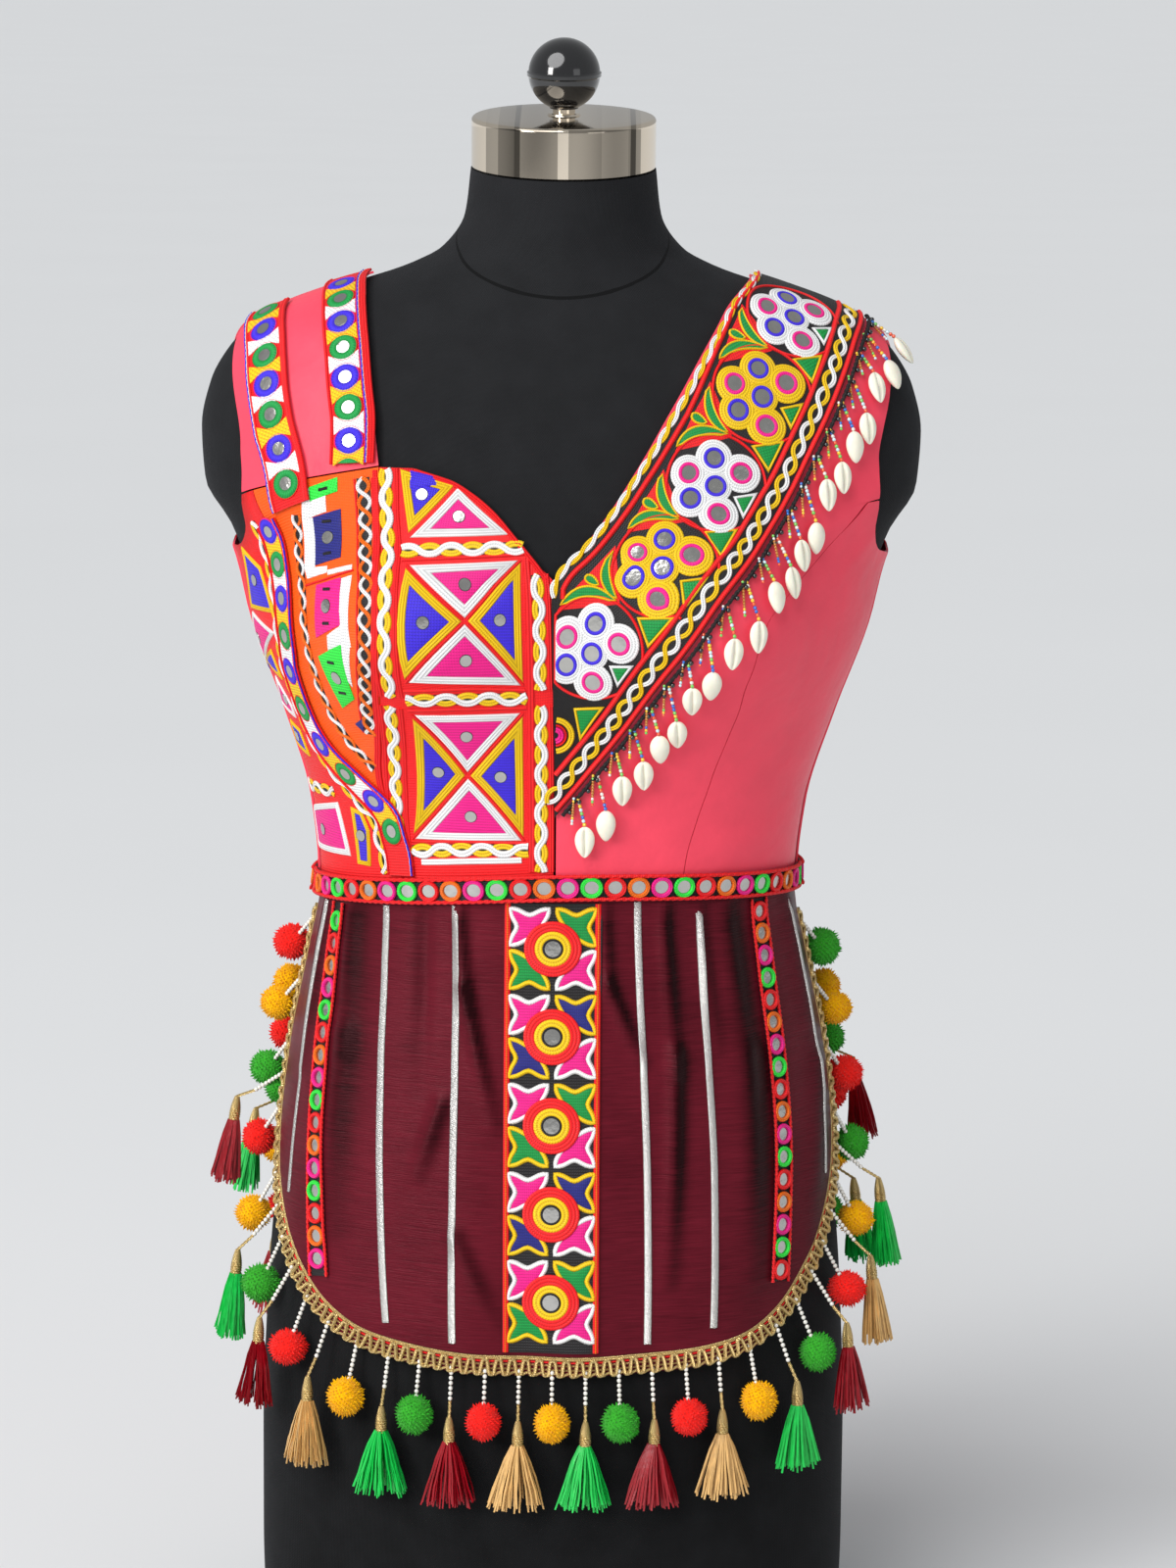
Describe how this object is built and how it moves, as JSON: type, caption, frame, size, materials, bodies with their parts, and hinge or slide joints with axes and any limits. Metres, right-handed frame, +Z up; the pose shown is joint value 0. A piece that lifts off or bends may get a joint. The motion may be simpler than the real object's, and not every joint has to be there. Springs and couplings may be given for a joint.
{
  "type": "choli blouse on a dress form",
  "caption": "Sleeveless choli with embroidered and satin sides, slanting border, mirror waistband and tasselled peplum flaps, on a limbless dress form.",
  "frame": {"origin": "middle of the dress form's flat foot, where its vertical axis meets the surface it stands on", "axes": "+Z up through the neck, -Y is the front, +X is the viewer's right (the wearer's left)"},
  "size_m": [0.3836, 0.2855, 0.8762],
  "materials": {
    "black_jersey": "matte knitted cover, smooth",
    "neck_chrome": "polished",
    "black_gloss": "glossy",
    "pink_satin": "coral pink satin, soft sheen",
    "red_embroidery": "chain stitch over red, raised",
    "orange_embroidery": "patchwork and chain stitch, raised",
    "black_embroidery": "chain stitch over black, raised, with mirrors",
    "mirror_ribbon": "ribbon with ringed mirrors and corded edges",
    "maroon_silk": "slubbed silk, soft sheen",
    "silver_gota": "metallic braid",
    "gold_gimp": "metallic looped braid with silk pendants",
    "cowrie_shell": "polished shell and glass beads"
  },
  "bodies": {
    "root": {"form_torso": "black_jersey", "form_neck_cap": "neck_chrome", "form_knob": "black_gloss", "front_left": "pink_satin", "side_front_left": "pink_satin", "back_left": "pink_satin", "back_right": "pink_satin", "shoulder_strap_right": "pink_satin", "cup_centre_panel_right": "red_embroidery", "side_front_right": "red_embroidery", "cup_side_panel_right": "orange_embroidery", "slanting_border_left": "black_embroidery", "centre_strip": "black_embroidery", "strap_ribbon_outer": "mirror_ribbon", "strap_ribbon_inner": "mirror_ribbon", "princess_ribbon_right": "mirror_ribbon", "waistband_front": "mirror_ribbon", "waistband_back": "mirror_ribbon", "ring_ribbon_left": "mirror_ribbon", "ring_ribbon_right": "mirror_ribbon", "peplum_front": "maroon_silk", "peplum_back": "maroon_silk", "gota_braid_1": "silver_gota", "gota_braid_2": "silver_gota", "gota_braid_3": "silver_gota", "gota_braid_4": "silver_gota", "gota_braid_thin_left": "silver_gota", "gota_braid_thin_right": "silver_gota", "hem_trim_front": "gold_gimp", "hem_trim_back": "gold_gimp", "cowrie_fringe": "cowrie_shell"}
  },
  "joints": []
}
